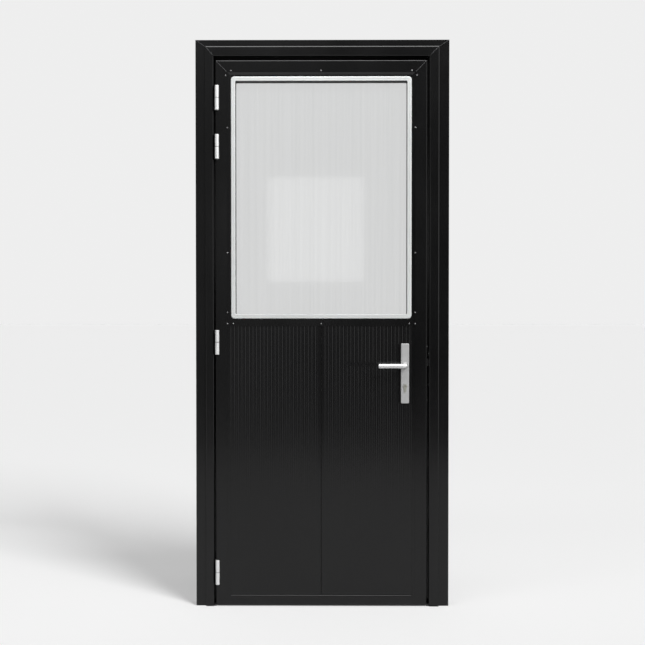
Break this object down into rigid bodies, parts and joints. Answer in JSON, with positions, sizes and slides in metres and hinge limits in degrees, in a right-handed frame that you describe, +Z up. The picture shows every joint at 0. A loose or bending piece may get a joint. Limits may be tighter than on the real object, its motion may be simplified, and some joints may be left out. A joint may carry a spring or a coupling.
{
  "type": "panel door with frame",
  "caption": "Black insulated panel door in a wall-gripping channel frame, with a white-framed window, lever handles, lift-off hinges and a key-operated lock.",
  "frame": {"origin": "floor level, midway across the frame and midway through the closed leaf", "axes": "+X from the hinge side to the lock side, +Y from the outer face to the inner face, +Z up"},
  "size_m": [1.03, 0.168, 2.305],
  "materials": {
    "black_coated_aluminium": "satin black powder coat",
    "black_coated_steel": "satin black coil coat",
    "foam": "rigid foam",
    "black_rubber": "matte",
    "white_plastic": "satin white",
    "clear_pane": "clear sheet",
    "satin_aluminium": "satin anodised",
    "satin_steel": "satin",
    "nickel_brass": "satin nickel plated"
  },
  "bodies": {
    "frame": {"frame_hinge_jamb": "black_coated_aluminium", "frame_lock_jamb": "black_coated_aluminium", "frame_head": "black_coated_aluminium", "corner_cleat_hinge_side": "satin_aluminium", "corner_cleat_lock_side": "satin_aluminium", "stop_gasket": "black_rubber", "strike_plate": "satin_steel", "strike_screws": "satin_steel", "hinge_pins": "satin_steel", "hinge_washers": "satin_steel", "hinge_frame_screws": "satin_steel", "hinge_1_frame_half": "satin_steel", "hinge_2_frame_half": "satin_steel", "hinge_3_frame_half": "satin_steel", "hinge_4_frame_half": "satin_steel"},
    "leaf": {"stile_hinge_side": "black_coated_aluminium", "stile_lock_side": "black_coated_aluminium", "top_rail": "black_coated_aluminium", "bottom_rail": "black_coated_aluminium", "transom_strip": "black_coated_aluminium", "leaf_rivets": "black_coated_aluminium", "panel_1_outer_skin": "black_coated_steel", "panel_1_inner_skin": "black_coated_steel", "panel_2_outer_skin": "black_coated_steel", "panel_2_inner_skin": "black_coated_steel", "panel_1_core": "foam", "panel_2_core": "foam", "bottom_seal": "black_rubber", "window_gasket_outer": "black_rubber", "window_gasket_inner": "black_rubber", "window_frame_outer": "white_plastic", "window_frame_inner": "white_plastic", "window_pane": "clear_pane", "handle_plate_outer": "satin_aluminium", "handle_plate_inner": "satin_aluminium", "hinge_1_leaf_half": "satin_steel", "hinge_2_leaf_half": "satin_steel", "hinge_3_leaf_half": "satin_steel", "hinge_4_leaf_half": "satin_steel", "hinge_leaf_screws": "satin_steel", "window_screws": "satin_steel", "plate_bolts": "satin_steel", "lock_case": "satin_steel", "lock_forend": "satin_steel", "forend_screws": "satin_steel", "cylinder_screw": "satin_steel", "lock_cylinder": "nickel_brass"},
    "handle": {"lever_outer": "satin_aluminium", "lever_inner": "satin_aluminium", "spindle": "satin_steel", "lock_follower": "satin_steel"},
    "latch": {"latch_bolt": "satin_steel"},
    "dead_bolt": {"dead_bolt": "satin_steel"},
    "key_plug": {"cylinder_plug_outer": "nickel_brass", "cylinder_plug_inner": "nickel_brass", "cylinder_cam": "nickel_brass"}
  },
  "joints": [
    {"name": "leaf_swing", "type": "hinge", "parent": "frame", "child": "leaf", "pos_m": [-0.4265, -0.0308, 1.15], "axis": [0, 0, -1], "range_deg": [0, 120]},
    {"name": "lever_turn", "type": "hinge", "parent": "leaf", "child": "handle", "pos_m": [0.336, 0, 0.9845], "axis": [0, -1, 0], "range_deg": [0, 35], "stiffness_Nm_per_rad": 1.2, "springref_deg": -28.65},
    {"name": "latch_slide", "type": "slide", "parent": "leaf", "child": "latch", "axis": [-1, 0, 0], "range_m": [0, 0.012]},
    {"name": "key_turn", "type": "hinge", "parent": "leaf", "child": "key_plug", "pos_m": [0.336, 0, 0.8995], "axis": [0, -1, 0], "range_deg": [0, 360]},
    {"name": "dead_bolt_slide", "type": "slide", "parent": "leaf", "child": "dead_bolt", "axis": [1, 0, 0], "range_m": [0, 0.02]}
  ],
  "couplings": [
    {"joint": "latch_slide", "follows": "lever_turn", "m_per_rad": 0.01964},
    {"joint": "key_turn", "follows": "dead_bolt_slide", "rad_per_m": 314.15}
  ]
}
